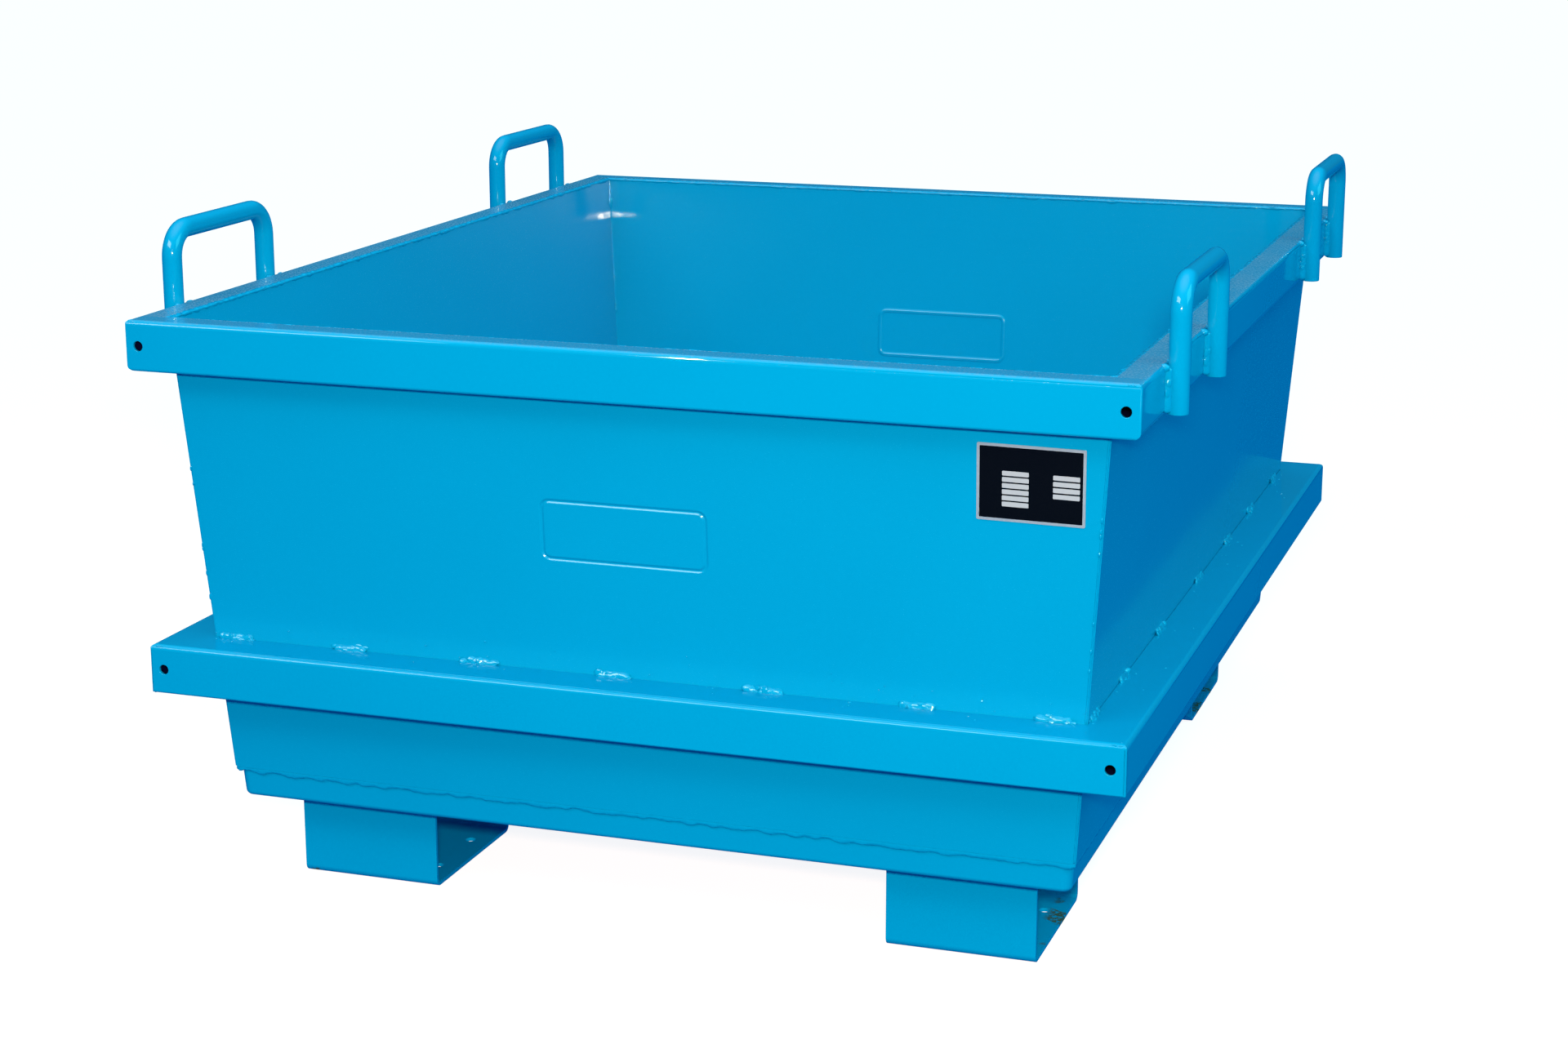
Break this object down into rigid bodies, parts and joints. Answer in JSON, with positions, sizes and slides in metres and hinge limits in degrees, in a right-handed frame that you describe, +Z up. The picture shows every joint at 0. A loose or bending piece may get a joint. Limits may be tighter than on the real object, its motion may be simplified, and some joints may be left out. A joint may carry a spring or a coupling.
{
  "type": "universal steel container",
  "caption": "Tapered open-top steel trough that nests and stacks, with a tubular rim, a stacking frame, crane eyes and channel feet for forks or castors.",
  "frame": {"origin": "on the ground, at the middle of the container's plan", "axes": "+Z up; +Y along the long side, away from the wall with the type plate; +X to the right of someone who faces the type plate"},
  "size_m": [1.04, 1.2, 0.676],
  "materials": {
    "blue_paint": "high-gloss light blue enamel on smooth steel sheet and tube",
    "weld_paint": "the same enamel over lumpy weld beads",
    "plate": "black printed aluminium with bare silver border and blank light grey fields"
  },
  "bodies": {
    "root": {"front_wall": "blue_paint", "back_wall": "blue_paint", "left_wall": "blue_paint", "right_wall": "blue_paint", "floor_pan": "blue_paint", "rim_tube_front": "blue_paint", "frame_tube_front": "blue_paint", "rim_tube_right": "blue_paint", "frame_tube_right": "blue_paint", "rim_tube_back": "blue_paint", "frame_tube_back": "blue_paint", "rim_tube_left": "blue_paint", "frame_tube_left": "blue_paint", "foot_front_right": "blue_paint", "crane_eye_front_right": "blue_paint", "foot_front_left": "blue_paint", "crane_eye_front_left": "blue_paint", "foot_back_right": "blue_paint", "crane_eye_back_right": "blue_paint", "foot_back_left": "blue_paint", "crane_eye_back_left": "blue_paint", "rim_seam_weld": "weld_paint", "pan_seam_weld": "weld_paint", "corner_seam_welds": "weld_paint", "crane_eye_welds": "weld_paint", "foot_welds": "weld_paint", "frame_stitch_welds_front": "weld_paint", "frame_stitch_welds_right": "weld_paint", "frame_stitch_welds_back": "weld_paint", "frame_stitch_welds_left": "weld_paint", "type_plate": "plate"}
  },
  "joints": []
}
